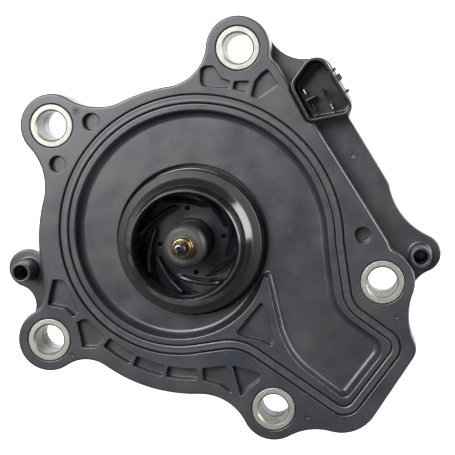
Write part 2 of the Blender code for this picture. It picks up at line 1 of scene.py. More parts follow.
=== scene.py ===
"""Looks of the electric engine coolant pump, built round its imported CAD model.

Lengths are in millimetres and angles in degrees.  Heights are counted from the front
face of the flange, as in the CAD source, and LIFT carries them to the row frame.  Most
pieces are skins: loops of points that follow an outline at rising heights, joined by
strips and closed by flat caps, so that every edge and every floor has its real radius.
"""
import json
import math

import bmesh
import bpy
from mathutils import Matrix, Vector, geometry

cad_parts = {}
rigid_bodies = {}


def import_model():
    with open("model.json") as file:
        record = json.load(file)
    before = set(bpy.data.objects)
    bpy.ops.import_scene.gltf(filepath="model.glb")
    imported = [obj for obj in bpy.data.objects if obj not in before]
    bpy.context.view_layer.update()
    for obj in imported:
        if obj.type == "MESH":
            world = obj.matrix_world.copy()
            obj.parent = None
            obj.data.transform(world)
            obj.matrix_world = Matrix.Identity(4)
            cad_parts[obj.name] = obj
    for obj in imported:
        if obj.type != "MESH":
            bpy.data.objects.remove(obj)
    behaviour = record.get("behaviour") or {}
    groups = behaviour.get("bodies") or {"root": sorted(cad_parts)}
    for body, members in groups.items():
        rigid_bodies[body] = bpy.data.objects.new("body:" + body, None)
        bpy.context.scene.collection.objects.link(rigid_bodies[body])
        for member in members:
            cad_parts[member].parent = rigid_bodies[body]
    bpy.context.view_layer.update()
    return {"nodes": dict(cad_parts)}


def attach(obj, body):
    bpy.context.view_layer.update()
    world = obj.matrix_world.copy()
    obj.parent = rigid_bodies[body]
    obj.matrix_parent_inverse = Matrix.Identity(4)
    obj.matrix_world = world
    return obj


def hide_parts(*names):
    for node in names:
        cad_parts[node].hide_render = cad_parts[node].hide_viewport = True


MM = 0.001
SAGITTA = 0.012                 # how far the sides of an arc may lie inside it
WIDEST_STEP = 20.0              # degrees between the points of an arc, at most
MARGIN = 0.06                   # flat strip round each cap, which keeps its shading flat
LIFT = 60.0                     # height of the flange face over the rest face

# Levels, from the flange face
RIDGE_TOP = -0.5
VOLUTE_FLOOR = -4.0
GROOVE_FLOOR = -4.2
POCKET_FLOOR = -3.2
SCREW_HOLE_END = -5.7
FLANGE_BACK = -10.0
PLATE_TOP = -10.3
PLATE_BACK = -14.0
CASE_TOP = -14.3
CASE_FLANGE_BACK = -18.0
CASE_BACK = -44.0
COVER_FRONT = -45.5
FIN_ROOT = -56.6
CONNECTOR_RIM = 2.0
CAN_SEAT = -8.0
CAN_SEAL_SEAT = -5.9
SCREW_TIP = -6.2
TERMINAL_TIP = -1.8

# Bolts: five steel sleeves, each in a round lobe
BOLTS = [(-44.8, 36.5), (14.9, 60.9), (60.7, -12.3), (26.5, -53.6), (-46.3, -32.6)]
SLEEVE_RADIUS = 6.85
SLEEVE_BORE = 4.7
SLEEVE_HOLE = 7.05
LOBE = 10.2
BODY = 49.5                     # radius of the flange round the volute
LEFT_LUG = (-55.8, -10.7)
RIGHT_LUG = (73.1, -4.2)
LEFT_BOSS = (-55.2, -10.8)
RIGHT_BOSS = (72.6, -4.3)
BOSS_RADIUS = 3.3
BOSS_HOLE = 2.3
BOSS_FLOOR = -11.5

# Volute: the radius grows with the turn from its lowest point, clockwise
SPIRAL = (31.1, 7.1, -1.0)
RIDGE_WIDTH = 2.3
GROOVE_HALF = 1.5
GASKET_HALF = 1.28
CAVITY = 24.2                   # round opening that the impeller sits in
FLOOR_FILLET = 2.3
EJECTOR_MARKS = [(-36.7, 41.1), (-38.75, -37.6), (65.4, -23.4), (37.6, -56.2)]
EJECTOR_MARK_RADIUS = 1.3
STRIP_MARK = (50.8, 27.0)
STRIP_MARK_RADIUS = 1.9
D_POCKET = (-31.9, 37.7)
D_POCKET_RADIUS = 2.75
D_POCKET_FLAT = (-68, 2)        # headings of the two ends of its straight side

# Connector: four contact blades and two guide ribs
TERMINALS = [(35.9, 47.2), (41.5, 47.3), (38.8, 42.4), (44.4, 42.7)]
GOLDEN_TERMINALS = (2, 3)
TERMINAL_TURN = 32
RIBS = [(44.8, 54.8), (49.0, 48.2)]

# Rotor can, motor case and rear cover
CAN_FLANGE = 32.0
PLATE_BORE = 19.2
DRUM_RADIUS = 42.0
DRUM_BORE = 39.6
COVER_SCREWS = 6
COVER_SCREW_CIRCLE = 45.5
EAR_RADIUS = 3.8
CASE_EAR_TOP = -36.0
COVER_EAR_BACK = -50.0
SCREW_HOLE = 2.3
HOUSING_SCREWS = [(-34.3, 38.6), (-35.9, -30.6), (38.5, -53.3), (63.6, -24.0), (24.5, 47.5)]
FIN_PITCH = 7.0
FIN_HALF = 1.2
PAD_RADIUS = 14.5
SCREW_BODY = 2.0
SCREW_HEAD_RADIUS = 2.85

# Impeller
SHAFT_RADIUS = 2.0
POST_RADIUS = 6.9
BACKPLATE_RADIUS = 23.2
BACKPLATE_TOP = -3.0
BLADES = 8
BLADE_INNER = 12.0
BLADE_OUTER = 22.6
BLADE_WRAP = 100.0              # degrees that a blade turns from its inner to its outer end
BLADE_START = -22.0
BLADE_HALF = 0.62
BALANCE_CIRCLE = 10.4
BALANCE_HOLE = 0.8
BALANCE_START = 7.8
SHROUD_EDGE = (22.9, 1.4)       # lower outer corner of the shroud
EYE_CORNERS = [(18.5, 2.9), (16.9, 4.4), (16.2, 6.4)]   # inner face of the shroud, by the blades

# Camera, in metres: where it is, its right-hand side and the way back from what it sees
CAMERA_PLACE = (0.05935, 0.04563, 0.49887)
CAMERA_RIGHT = (0.99417, 0.0, -0.10783)
CAMERA_BACK = (0.10736, 0.09281, 0.98988)
LENS = 110.8

BASE = "housing"
SPINNER = "impeller"


# ---------------------------------------------------------------- outlines

def heading(start, end):
    """Angle of the way from one point to another, in degrees."""
    return math.degrees(math.atan2(end[1] - start[1], end[0] - start[0]))


def polar(centre, radius, angle):
    """The point at a distance and a heading from a centre."""
    turn = math.radians(angle)
    return (centre[0] + radius * math.cos(turn), centre[1] + radius * math.sin(turn))


def arc_step(radius):
    """Degrees between the points of an arc, so that its sides stay close to it."""
    return min(math.degrees(2 * math.acos(1 - SAGITTA / max(radius, 0.05))), WIDEST_STEP)


def arc(centre, radius, start, end):
    """Points from one angle to the other, clockwise when end is the smaller."""
    steps = max(1, math.ceil(abs(end - start) / arc_step(radius)))
    return [polar(centre, radius, start + (end - start) * step / steps) for step in range(steps + 1)]


def circle(centre, radius):
    """Anticlockwise outline of a circle."""
    return arc(centre, radius, 0, 360)[:-1]


def join_circles(this, after):
    """How an anticlockwise outline goes from one circle (x, y, radius, fillet) to the next."""
    distance = math.dist(this[:2], after[:2])
    way = heading(this, after)
    fillet = this[3]
    if not fillet:
        side = way - 90 + math.degrees(math.asin((this[2] - after[2]) / distance))
        return side, side, []
    reach = this[2] + fillet
    along = (reach ** 2 - (after[2] + fillet) ** 2 + distance ** 2) / (2 * distance)
    away = math.sqrt(reach ** 2 - along ** 2)
    centre = polar(polar(this, along, way), away, way - 90)
    leave = heading(this, centre)
    arrive = heading(after, centre)
    sweep = (leave - arrive) % 360
    return leave, arrive, arc(centre, fillet, leave + 180, leave + 180 - sweep)[1:-1]


def circle_chain(circles):
    """Anticlockwise outline round circles, joined by straights or by hollow fillets."""
    joins = [join_circles(this, after) for this, after in zip(circles, circles[1:] + circles[:1])]
    outline = []
    for index, (x, y, radius, _) in enumerate(circles):
        arrive = joins[index - 1][1]
        leave = joins[index][0]
        outline += arc((x, y), radius, arrive, arrive + (leave - arrive) % 360)
        outline += joins[index][2]
    return outline


def rounded_corner(before, corner, after):
    """Arc that rounds a corner (x, y, radius) between its neighbours."""
    way_in = heading(before, corner)
    turn = (heading(corner, after) - way_in + 180) % 360 - 180
    side = math.copysign(90, turn)
    start = polar(corner, -corner[2] * math.tan(math.radians(abs(turn) / 2)), way_in)
    centre = polar(start, corner[2], way_in + side)
    return arc(centre, corner[2], way_in - side, way_in - side + turn)


def rounded_path(corners):
    """Open path through corners, each but the ends rounded."""
    path = [corners[0][:2]]
    for before, corner, after in zip(corners, corners[1:], corners[2:]):
        path += rounded_corner(before, corner, after)
    return path + [corners[-1][:2]]


def rounded_polygon(corners):
    """Closed outline through rounded corners."""
    outline = []
    for index, corner in enumerate(corners):
        outline += rounded_corner(corners[index - 1], corner, corners[(index + 1) % len(corners)])
    return outline


def offset_outline(outline, distance, share=None):
    """The anticlockwise outline moved outwards, or inwards when distance is negative.

    share, a function of a point, gives the part of the distance that the point moves.
    """
    moved = []
    for index, point in enumerate(outline):
        before = Vector(point) - Vector(outline[index - 1])
        after = Vector(outline[(index + 1) % len(outline)]) - Vector(point)
        normal = (before.normalized() + after.normalized()).normalized()
        spread = distance / max(0.7, normal.dot(after.normalized()))
        if share:
            spread *= share(point)
        moved.append((point[0] + normal.y * spread, point[1] - normal.x * spread))
    return moved


def spiral(offset, start, end):
    """Volute curve from one turn to another, clockwise from its lowest point."""
    steps = math.ceil((end - start) / 1.5)
    curve = []
    for step in range(steps + 1):
        turn = start + (end - start) * step / steps
        quarters = turn / 90
        radius = SPIRAL[0] + SPIRAL[1] * quarters + SPIRAL[2] * quarters ** 2 + offset
        curve.append(polar((0, 0), radius, -90 - turn))
    return curve


def flange_outline():
    """The flange: bolt lobes joined by hollow fillets to a round body and the outlet."""
    first, second, third, fourth, fifth = [(x, y, LOBE) for x, y in BOLTS]
    body = (0, 0, BODY)
    return circle_chain([
        second + (14,), body + (18,), first + (18,), body + (8,), fifth + (11,), body + (16,),
        fourth + (18,), (48.0, -48.5, 12.5, 0), (65.8, -33.4, 5.7, 20), third + (3,),
        (56.8, -2.3, 6, 0), (22.6, 51.9, 6, 3)])


def plate_outline():
    """The middle plate: the flange's shape with two lugs, a side strip and a connector seat."""
    first, second, third, fourth, fifth = [(x, y, LOBE - 0.2) for x, y in BOLTS]
    body = (0, 0, BODY - 0.3)
    return circle_chain([
        second + (14,), body + (18,), first + (18,), body + (3,), LEFT_LUG + (6.3, 6.5), fifth + (11,),
        body + (16,), fourth + (18,), (48.0, -48.5, 12.2, 0), (65.8, -33.4, 5.4, 20), third + (9,),
        RIGHT_LUG + (6.1, 22), (56.9, 15.9, 6, 0), (48.7, 37.9, 1.5, 1.5), (45.5, 43.0, 5.2, 0),
        (39.3, 53.0, 5.3, 12)])


def connector_outline():
    """Outside of the connector's shroud."""
    return rounded_polygon([(37.1, 37.65, 2.4), (52.7, 40.7, 3.2), (39.56, 61.6, 4.6), (30.9, 49.3, 4.2)])


def volute_outline():
    """Edge of the volute and of its outlet channel, with the tongue between them."""
    curve = spiral(0, -60, 270)
    outlet = rounded_path([curve[-1] + (0,), (46.0, -21.5, 14), (62.3, -32.8, 4.5), (49.2, -50.2, 2.6),
                           (32.4, -37.9, 25), (28.3, -28.7, 30), (24.3, -11.2, 0.35), (23.15, -11.25, 0.35),
                           curve[0] + (0,)])
    return (curve + outlet[1:-1])[::-1]


def groove_line():
    """Middle line of the gasket groove, which runs round the volute and its outlet."""
    curve = spiral(RIDGE_WIDTH + GROOVE_HALF, -4, 270)
    outlet = rounded_path([curve[-1] + (0,), (50.2, -20.0, 9.5), (67.1, -32.0, 4.8), (49.9, -55.4, 4.5),
                           (15.8, -32.3, 14.5), curve[0] + (0,)])
    return (curve + outlet[1:-1])[::-1]


def sector(inner, outer, start, end):
    """Anticlockwise piece of a ring about the shaft axis, with rounded corners."""
    bend = 0.5
    outline = arc((0, 0), outer, start + 1.2, end - 1.2)
    outline += arc(polar((0, 0), outer - bend, end - 0.7), bend, end, end + 90)[1:]
    outline += arc(polar((0, 0), inner + bend, end - 0.7), bend, end + 90, end + 180)
    outline += arc((0, 0), inner, end - 1.2, start + 1.2)
    outline += arc(polar((0, 0), inner + bend, start + 0.7), bend, start + 180, start + 270)[1:]
    outline += arc(polar((0, 0), outer - bend, start + 0.7), bend, start + 270, start + 360)[:-1]
    return outline


def flange_pockets():
    """Weight-saving pockets outside the groove, with ribs left between them."""
    pockets = [circle((-42.9, 24.2), 2.65), circle((54.4, 2.5), 2.55)]
    start, end = D_POCKET_FLAT
    pockets.append(arc(D_POCKET, D_POCKET_RADIUS, end, start + 360))
    pockets += [sector(41.2, 44.7, start, start + 13.1) for start in (230.2, 244.8, 259.4)]
    pockets += [rounded_polygon(corners) for corners in (
        [(2.8, 49.0, 2.0), (12.1, 48.4, 0.5), (12.5, 50.6, 0.5), (9.4, 51.5, 2.0), (7.2, 55.4, 1.2),
         (3.2, 55.2, 1.8)],
        [(13.3, 48.1, 0.5), (17.7, 47.2, 0.5), (18.6, 50.6, 0.5), (13.9, 50.5, 0.5)],
        [(19.0, 45.7, 0.5), (21.5, 45.3, 0.6), (27.6, 49.3, 0.8), (24.4, 54.4, 0.8), (22.3, 53.0, 0.8),
         (20.2, 50.4, 0.5)],
        [(-46.7, -21.3, 0.8), (-41.2, -22.3, 2.0), (-38.1, -25.0, 0.5), (-36.6, -23.4, 0.5),
         (-41.4, -13.1, 2.0), (-44.8, -13.0, 0.6)],
        [(-35.4, -35.0, 0.8), (-31.0, -35.0, 0.5), (-28.2, -31.4, 0.5), (-34.2, -25.2, 2.0),
         (-37.2, -26.8, 0.6)],
        [(3.8, -45.0, 0.5), (9.2, -46.3, 3.0), (13.4, -49.2, 0.5), (11.2, -39.9, 0.5), (3.6, -41.0, 0.5)],
        [(15.9, -50.0, 0.5), (18.6, -47.0, 1.0), (22.2, -44.2, 0.5), (21.9, -42.2, 0.5),
         (13.2, -39.8, 0.5)])]
    return pockets


def tongue_pocket():
    """Pocket in the tongue, between the volute and its outlet."""
    return rounded_polygon([
        (22.4, -19.3, 0.6), (14.2, -29.6, 0.6), (18.6, -31.2, 0.5), (22.2, -31.8, 0.5), (25.6, -33.4, 0.5),
        (26.8, -31.4, 0.5), (25.1, -27.0, 2.0), (24.1, -21.5, 0.6)])


# ---------------------------------------------------------------- skins

def place(x, y, z):
    """A point of the row frame, in metres, from a place on the flange."""
    return Vector((x, y, z + LIFT)) * MM


def edge_round(radius, top, steps=4):
    """Profile of a rounded top edge, as (how far in from the wall, height), upwards."""
    turns = [math.radians(90 * step / steps) for step in range(steps + 1)]
    levels = [(radius * (1 - math.cos(turn)), top - radius + radius * math.sin(turn)) for turn in turns]
    return levels + [(radius + MARGIN, top)]


def flipped(levels):
    """Levels with their offsets turned from the inside of a wall to the outside, or back."""
    return [(-offset, height) for offset, height in levels]


class Skin:
    """A closed surface made of loops, strips between them and flat caps."""

    def __init__(self):
        self.mesh = bmesh.new()

    def loop(self, outline, height):
        """New corners along an outline at one height."""
        return [self.mesh.verts.new(place(x, y, height)) for x, y in outline]

    def strip(self, lower, upper):
        """Ring of four-sided faces between two loops."""
        for step in range(len(lower)):
            after = (step + 1) % len(lower)
            self.mesh.faces.new((lower[step], lower[after], upper[after], upper[step]))

    def cap(self, *loops):
        """Flat face inside the first loop and outside the others, all anticlockwise."""
        corners = []
        owners = []
        sides = []
        for number, loop in enumerate(loops):
            first = len(corners)
            sides += [(first + step, first + (step + 1) % len(loop)) for step in range(len(loop))]
            owners += [number] * len(loop)
            corners += loop
        flat = [corner.co.xy / MM for corner in corners]
        inside_outer_loop = 1
        for face in geometry.delaunay_2d_cdt(flat, sides, [], inside_outer_loop, 1e-5)[2]:
            first, second, third = sorted(face)
            owner = owners[first]
            turns_left = (flat[second] - flat[first]).cross(flat[third] - flat[first]) > 0
            fills_hole = owner > 0 and owner == owners[second] == owners[third] and turns_left
            if not fills_hole:
                self.mesh.faces.new([corners[index] for index in face])

    def wall(self, outline, levels, share=None):
        """Strips through (offset, height) levels of an outline; returns its end loops."""
        loops = []
        for offset, height in levels:
            shape = offset_outline(outline, offset, share) if offset else outline
            loops.append(self.loop(shape, height))
        for lower, upper in zip(loops, loops[1:]):
            self.strip(lower, upper)
        return loops[0], loops[-1]

    def solid(self, outline, levels):
        """Closed upright solid through (offset, height) levels, upwards."""
        low, high = self.wall(outline, levels)
        self.cap(low)
        self.cap(high)

    def post(self, outline, bottom, top, edge, foot=0.0):
        """Closed upright solid with a rounded top edge, and a rounded bottom one if asked."""
        levels = [(0, bottom)]
        if foot:
            levels = [(-inset, 2 * bottom - height) for inset, height in edge_round(foot, bottom)[::-1]]
        self.solid(outline, levels + flipped(edge_round(edge, top)))

    def well(self, outline, top, floor, edge=0.25, fillet=0.25, draft=0.05):
        """Blind hole with a rounded rim and floor; returns its rim loop."""
        levels = edge_round(edge, top, 3)[::-1] + fillet_levels(floor, fillet, fillet, draft, 4)
        rim, low = self.wall(outline, levels)
        self.cap(low)
        return rim

    def lathe(self, profile, segments=96, centre=(0, 0)):
        """Solid turned about an upright axis from a closed outline of (radius, height)."""
        rings = []
        for radius, height in profile:
            if radius <= 0:
                rings.append([self.mesh.verts.new(place(*centre, height))] * segments)
                continue
            rings.append(self.loop([polar(centre, radius, 360 * step / segments) for step in range(segments)],
                                   height))
        for lower, upper in zip(rings, rings[1:] + rings[:1]):
            for step in range(segments):
                after = (step + 1) % segments
                corners = list(dict.fromkeys((lower[step], lower[after], upper[after], upper[step])))
                if len(corners) > 2:
                    self.mesh.faces.new(corners)

    def piece(self, name, body, slot, material, *nodes, sharp=40):
        """Finish the skin as a piece that stands for CAD nodes and rides on a body."""
        bmesh.ops.recalc_face_normals(self.mesh, faces=self.mesh.faces)
        data = bpy.data.meshes.new(name)
        self.mesh.to_mesh(data)
        self.mesh.free()
        data.shade_smooth()
        data.set_sharp_from_angle(angle=math.radians(sharp))
        data.materials.append(material)
        thing = bpy.data.objects.new(name, data)
        bpy.context.scene.collection.objects.link(thing)
        weights = thing.modifiers.new("weighted_normals", "WEIGHTED_NORMAL")
        weights.keep_sharp = True
        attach(thing, body)
        if nodes:
            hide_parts(*nodes)


def crossing(start, end, first, second):
    """Where one straight crosses another, as shares along both, or None."""
    way = Vector(end) - Vector(start)
    other = Vector(second) - Vector(first)
    area = way.cross(other)
    if abs(area) < 1e-9:
        return None
    gap = Vector(first) - Vector(start)
    along = gap.cross(other) / area
    across = gap.cross(way) / area
    return (along, across) if 0 <= along < 1 and 0 <= across < 1 else None


def encloses(outline, point):
    """Whether the outline goes round the point, from how often a long straight crosses it."""
    far = (point[0] + 900, point[1] + 1.7)
    flips = [crossing(point, far, first, outline[(number + 1) % len(outline)])
             for number, first in enumerate(outline)]
    return sum(flip is not None for flip in flips) % 2 == 1


def bite(outline, cutter):
    """The outline with the cutter taken out of its edge, where it crosses in and out once."""
    hits = []
    for index, start in enumerate(outline):
        end = outline[(index + 1) % len(outline)]
        for number, first in enumerate(cutter):
            found = crossing(start, end, first, cutter[(number + 1) % len(cutter)])
            if found:
                point = Vector(start).lerp(Vector(end), found[0])
                hits.append((index, number, (point.x, point.y)))
    entry, leave = hits
    count = len(outline)
    if entry[0] != leave[0] and not encloses(cutter, outline[(entry[0] + 1) % count]):
        entry, leave = leave, entry
    kept = []
    index = (leave[0] + 1) % count
    while True:
        kept.append(outline[index])
        if index == entry[0]:
            break
        index = (index + 1) % count
    way_round = []
    number = entry[1]
    while number != leave[1]:
        way_round.append(cutter[number])
        number = (number - 1) % len(cutter)
    return [leave[2]] + kept + [entry[2]] + way_round


# ---------------------------------------------------------------- materials

class Paint:
    """A node material built up from noises that are laid out in millimetres."""

    def __init__(self, name, colour, roughness, metallic=0.0):
        self.material = bpy.data.materials.new(name)
        self.material.use_nodes = True
        self.tree = self.material.node_tree
        self.shader = self.tree.nodes["Principled BSDF"]
        self.shader.inputs["Base Color"].default_value = (*colour, 1)
        self.shader.inputs["Roughness"].default_value = roughness
        self.shader.inputs["Metallic"].default_value = metallic
        self.place = self.tree.nodes.new("ShaderNodeTexCoord").outputs["Object"]
        self.height = None

    def node(self, kind, **settings):
        """New node of a kind, with its properties set."""
        made = self.tree.nodes.new(kind)
        for name, value in settings.items():
            setattr(made, name, value)
        return made

    def link(self, start, end):
        """Lead one socket to another."""
        self.tree.links.new(start, end)

    def noise(self, size, detail, stretch=(1, 1, 1), offset=0.0):
        """Soft noise, with patches of about size millimetres; from 0 to 1 round 0.5."""
        spread = self.node("ShaderNodeMapping")
        spread.inputs["Scale"].default_value = [1 / (size * MM * part) for part in stretch]
        spread.inputs["Location"].default_value = (offset, offset, offset)
        self.link(self.place, spread.inputs["Vector"])
        cloud = self.node("ShaderNodeTexNoise")
        cloud.inputs["Scale"].default_value = 1.0
        cloud.inputs["Detail"].default_value = detail
        self.link(spread.outputs["Vector"], cloud.inputs["Vector"])
        return cloud.outputs["Fac"]

    def scale_to(self, value, low, high, start=0.3, end=0.7):
        """Value carried from start-end to low-high, and held there."""
        spread = self.node("ShaderNodeMapRange")
        for name, number in (("From Min", start), ("From Max", end), ("To Min", low), ("To Max", high)):
            spread.inputs[name].default_value = number
        self.link(value, spread.inputs["Value"])
        return spread.outputs["Result"]

    def colours(self, value, low, high):
        """Base colour that goes from low to high with the value."""
        ramp = self.node("ShaderNodeValToRGB")
        ramp.color_ramp.elements[0].position = 0.3
        ramp.color_ramp.elements[1].position = 0.7
        ramp.color_ramp.elements[0].color = (*low, 1)
        ramp.color_ramp.elements[1].color = (*high, 1)
        self.link(value, ramp.inputs["Fac"])
        self.link(ramp.outputs["Color"], self.shader.inputs["Base Color"])

    def tint(self, value, colour, most, start, end):
        """Mix the linked base colour towards another, up to most, as value goes from start to end."""
        mix = self.node("ShaderNodeMix", data_type="RGBA")
        socket = self.shader.inputs["Base Color"]
        self.link(socket.links[0].from_socket, mix.inputs["A"])
        mix.inputs["B"].default_value = (*colour, 1)
        self.link(self.scale_to(value, 0.0, most, start, end), mix.inputs["Factor"])
        self.link(mix.outputs["Result"], socket)

    def roughness(self, value, low, high):
        """Roughness that goes from low to high with the value."""
        self.link(self.scale_to(value, low, high), self.shader.inputs["Roughness"])

    def bump(self, value, depth, strength):
        """Relief of a depth in millimetres, laid over what is there already."""
        made = self.node("ShaderNodeBump")
        made.inputs["Distance"].default_value = depth * MM
        made.inputs["Strength"].default_value = strength
        self.link(value, made.inputs["Height"])
        if self.height:
            self.link(self.height, made.inputs["Normal"])
        self.height = made.outputs["Normal"]
        self.link(self.height, self.shader.inputs["Normal"])

    def level(self):
        """Height above the rear rest face, in metres."""
        parts = self.node("ShaderNodeSeparateXYZ")
        self.link(self.place, parts.inputs["Vector"])
        return parts.outputs["Z"]

    def total(self, first, second):
        """Sum of two values."""
        added = self.node("ShaderNodeMath", operation="ADD")
        self.link(first, added.inputs[0])
        self.link(second, added.inputs[1])
        return added.outputs["Value"]

    def grain(self, depth, strength, size, detail, **settings):
        """Relief from a noise, with a depth in millimetres."""
        self.bump(self.noise(size, detail, **settings), depth, strength)

    def edges(self):
        """How strongly a place sticks out, from the mesh's own curvature."""
        return self.node("ShaderNodeNewGeometry").outputs["Pointiness"]


def moulded_plastic(name, dark, light, roughness, grain=0.008):
    """Glass-filled black plastic: cloudy flow marks, fibres at the surface and a fine grain."""
    paint = Paint(name, dark, roughness)
    clouds = paint.noise(17, 4)
    paint.colours(clouds, dark, light)
    paint.roughness(paint.noise(9, 5, offset=4.0), roughness - 0.06, roughness + 0.08)
    fibres = paint.noise(1.1, 4, stretch=(0.5, 2.2, 1), offset=9.0)
    paint.tint(fibres, [1.5 * part for part in light], 0.5, 0.58, 0.75)
    paint.grain(0.06, 0.5, 7, 2, offset=2.0)
    paint.grain(grain, 0.6, 0.32, 3)
    return paint.material


def glossy_plastic():
    """Polished black plastic of the impeller's shroud, matte on its lip, with a few dust specks."""
    paint = Paint("glossy_plastic", (0.008, 0.008, 0.008), 0.2)
    paint.colours(paint.noise(11, 3), (0.004, 0.004, 0.004), (0.0075, 0.007, 0.0065))
    polish = paint.scale_to(paint.noise(3, 6, offset=5.0), 0.14, 0.24)
    matte_lip = paint.scale_to(paint.level(), 0.36, 0.0, (LIFT + 4.5) * MM, (LIFT + 5.3) * MM)
    paint.link(paint.total(polish, matte_lip), paint.shader.inputs["Roughness"])
    paint.tint(paint.noise(0.5, 2, offset=3.0), (0.09, 0.085, 0.08), 0.5, 0.76, 0.84)
    paint.grain(0.05, 0.35, 6, 2)
    paint.grain(0.004, 0.6, 0.4, 3)
    return paint.material


def blade_plastic():
    """Blue-black plastic of the impeller's back plate and blades."""
    return moulded_plastic("blade_plastic", (0.004, 0.005, 0.008), (0.007, 0.008, 0.014), 0.24, 0.00457)


def zinc_steel():
    """Pale yellowish zinc plating with fine speckle and turned rings."""
    paint = Paint("zinc_steel", (0.24, 0.235, 0.205), 0.45, 0.7)
    paint.colours(paint.noise(3.0, 5), (0.21, 0.21, 0.19), (0.27, 0.265, 0.23))
    paint.tint(paint.noise(0.35, 3, offset=3.0), (0.15, 0.15, 0.14), 0.6, 0.6, 0.76)
    paint.roughness(paint.noise(0.8, 4, offset=6.0), 0.36, 0.52)
    paint.grain(0.012, 0.8, 0.25, 3)
    return paint.material


def cast_aluminium():
    """Die-cast aluminium: matte, with a pebbled skin, flow marks, darker pores and a painted highlight along
    its edges.
    """
    paint = Paint("cast_aluminium", (0.30, 0.30, 0.31), 0.42, 0.85)
    paint.colours(paint.noise(14, 5), (0.22, 0.22, 0.23), (0.30, 0.30, 0.31))
    paint.tint(paint.noise(0.6, 3, offset=8.0), (0.14, 0.14, 0.145), 0.6, 0.66, 0.8)
    # painted highlight: edges that stick out are lightened towards pale grey, standing in for the bright
    # lines of lit rims
    paint.tint(paint.edges(), (0.44, 0.44, 0.44), 0.5, 0.53, 0.62)
    paint.roughness(paint.noise(5, 5, offset=6.0), 0.36, 0.55)
    paint.grain(0.05, 0.8, 0.7, 4)
    paint.grain(0.12, 0.5, 9, 2)
    return paint.material


def turned_metal(name, dark, light, roughness):
    """Machined metal with turning marks that run round the shaft direction."""
    paint = Paint(name, light, roughness, 1.0)
    paint.colours(paint.noise(2.5, 4), dark, light)
    paint.roughness(paint.noise(0.9, 4, offset=3.0), roughness - 0.06, roughness + 0.12)
    paint.bump(paint.noise(0.25, 2, stretch=(40, 40, 1)), 0.01, 0.7)
    paint.grain(0.006, 0.6, 0.2, 3)
    return paint.material


def rubber():
    """Matte black rubber with a dusty bloom."""
    paint = Paint("rubber", (0.022, 0.022, 0.024), 0.62)
    paint.colours(paint.noise(5, 4), (0.019, 0.020, 0.023), (0.028, 0.029, 0.033))
    paint.roughness(paint.noise(2, 4, offset=5.0), 0.32, 0.44)
    paint.grain(0.015, 0.8, 0.3, 4)
    return paint.material


def carbon_bearing():
    """Warm grey resin-bonded carbon of the rotor's sleeve, washer and bushes."""
    paint = Paint("carbon_bearing", (0.10, 0.095, 0.09), 0.5)
    paint.colours(paint.noise(2.2, 5), (0.015, 0.0145, 0.0135), (0.026, 0.0245, 0.022))
    paint.tint(paint.noise(0.4, 2, offset=3.0), (0.02, 0.02, 0.02), 0.7, 0.66, 0.76)
    paint.roughness(paint.noise(1.2, 4, offset=7.0), 0.36, 0.5)
    paint.grain(0.02, 0.8, 0.3, 4)
    return paint.material


def enamelled_copper():
    """Copper winding: many turns of round enamelled wire beside each other."""
    paint = Paint("enamelled_copper", (0.55, 0.22, 0.08), 0.3, 1.0)
    paint.colours(paint.noise(4, 3), (0.45, 0.17, 0.06), (0.66, 0.29, 0.12))
    turns = paint.node("ShaderNodeTexWave", bands_direction="Z", wave_type="BANDS")
    turns.inputs["Scale"].default_value = 600
    turns.inputs["Distortion"].default_value = 0.4
    paint.link(paint.place, turns.inputs["Vector"])
    paint.bump(turns.outputs["Fac"], 0.25, 0.9)
    paint.roughness(paint.noise(1, 3, offset=2.0), 0.22, 0.42)
    return paint.material


def laminated_steel():
    """Stack of thin electrical-steel sheets, with a line between each two."""
    paint = Paint("laminated_steel", (0.32, 0.33, 0.35), 0.4, 1.0)
    paint.colours(paint.noise(6, 4), (0.26, 0.27, 0.29), (0.38, 0.39, 0.41))
    sheets = paint.node("ShaderNodeTexWave", bands_direction="Z", wave_type="BANDS")
    sheets.inputs["Scale"].default_value = 900
    paint.link(paint.place, sheets.inputs["Vector"])
    paint.bump(sheets.outputs["Fac"], 0.1, 0.8)
    paint.roughness(paint.noise(1, 3, offset=2.0), 0.32, 0.5)
    return paint.material


def magnet_ferrite():
    """Sintered ferrite and moulded chip bodies: near black, gritty and matte."""
    paint = Paint("magnet_ferrite", (0.05, 0.05, 0.055), 0.5)
    paint.colours(paint.noise(2, 5), (0.035, 0.035, 0.04), (0.07, 0.07, 0.075))
    paint.roughness(paint.noise(1, 4, offset=2.0), 0.42, 0.66)
    paint.grain(0.02, 0.8, 0.2, 4)
    return paint.material


def circuit_board():
    """Lacquered green board with copper tracks under the lacquer."""
    paint = Paint("circuit_board", (0.02, 0.14, 0.06), 0.3)
    paint.colours(paint.noise(8, 3), (0.012, 0.10, 0.045), (0.02, 0.16, 0.07))
    tracks = paint.node("ShaderNodeTexBrick")
    tracks.inputs["Scale"].default_value = 160
    tracks.inputs["Mortar Size"].default_value = 0.05
    paint.link(paint.place, tracks.inputs["Vector"])
    paint.tint(tracks.outputs["Fac"], (0.05, 0.30, 0.13), 0.8, 0.4, 0.6)
    paint.bump(tracks.outputs["Fac"], 0.035, 0.7)
    paint.roughness(paint.noise(2, 3, offset=2.0), 0.24, 0.4)
    return paint.material


# ---------------------------------------------------------------- housing

def fillet_levels(floor, width, depth, start=0.0, steps=6):
    """Rounded foot of a wall, from start inwards, ending flat on the floor."""
    turns = [math.radians(90 * step / steps) for step in range(steps + 1)]
    levels = [(-start - width * (1 - math.cos(turn)), floor + depth * (1 - math.sin(turn)))
              for turn in turns]
    return levels + [(-start - width - MARGIN, floor)]


def ejector_mark(skin, centre, radius, level):
    """Ring and dent that an ejector pin leaves; returns the outer loop."""
    ring = [(0, level), (-0.1, level - 0.16), (-0.35, level - 0.16), (-0.45, level - 0.03),
            (-0.5 * radius, level - 0.03), (-0.5 * radius - 0.15, level - 0.25),
            (-0.8 * radius, level - 0.32)]
    rim, middle = skin.wall(circle(centre, radius), ring)
    skin.cap(middle)
    return rim


